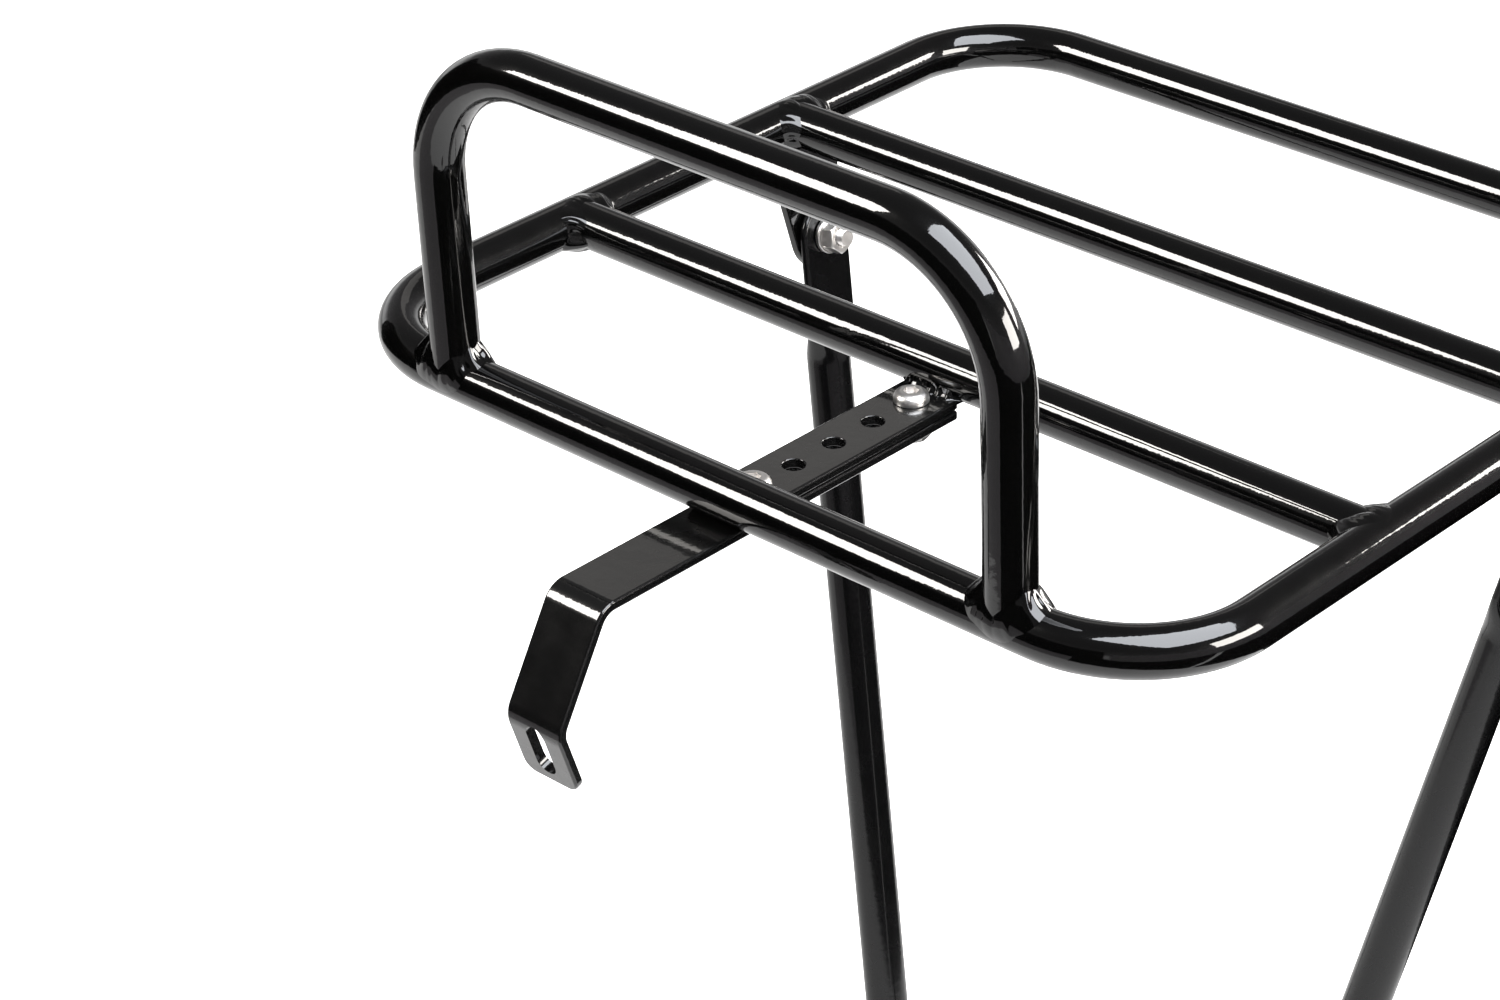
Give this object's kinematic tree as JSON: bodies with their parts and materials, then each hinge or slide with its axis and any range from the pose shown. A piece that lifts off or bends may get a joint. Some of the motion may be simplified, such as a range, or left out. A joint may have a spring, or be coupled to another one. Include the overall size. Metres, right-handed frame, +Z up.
{
  "type": "bicycle front rack",
  "caption": "Gloss black tubular front rack for a bicycle: bent tube platform with a rear hoop, a slotted fork-crown bracket and pivoting struts.",
  "frame": {"origin": "centre of the mouth of the long slot on the rear face of the crown bracket's tongue, where the fork-crown bolt passes", "axes": "+Z up with the platform level, +Y towards the front of the bicycle, +X to the rider's right, so X = 0 is the rack's mid plane"},
  "size_m": [0.3124, 0.3737, 0.5365],
  "materials": {
    "gloss_black": "deep gloss black powder coat on steel tube and plate",
    "strut_black": "black coat, a little softer than the platform's",
    "stainless": "plain stainless fasteners, machined and lightly polished"
  },
  "bodies": {
    "rack": {"rail_loop": "gloss_black", "rear_cross_tube": "gloss_black", "front_cross_tube": "gloss_black", "rear_hoop": "gloss_black", "bracket_plate": "gloss_black", "crown_bracket": "gloss_black", "left_leg_tab": "gloss_black", "right_leg_tab": "gloss_black", "front_bracket_bolt": "stainless", "front_bracket_nut": "stainless", "rear_bracket_bolt": "stainless", "rear_bracket_nut": "stainless", "left_leg_bolt": "stainless", "left_leg_washer": "stainless", "left_leg_nut": "stainless", "right_leg_bolt": "stainless", "right_leg_washer": "stainless", "right_leg_nut": "stainless"},
    "left_leg": {"left_leg": "strut_black"},
    "right_leg": {"right_leg": "strut_black"}
  },
  "joints": [
    {"name": "left_leg_pivot", "type": "hinge", "parent": "rack", "child": "left_leg", "pos_m": [-0.1377, 0.26617, 0.01049], "axis": [0.9796, 0, 0.2011], "range_deg": [-88, 105]},
    {"name": "right_leg_pivot", "type": "hinge", "parent": "rack", "child": "right_leg", "pos_m": [0.1377, 0.26617, 0.01049], "axis": [0.9796, 0, -0.2011], "range_deg": [-88, 105]}
  ]
}
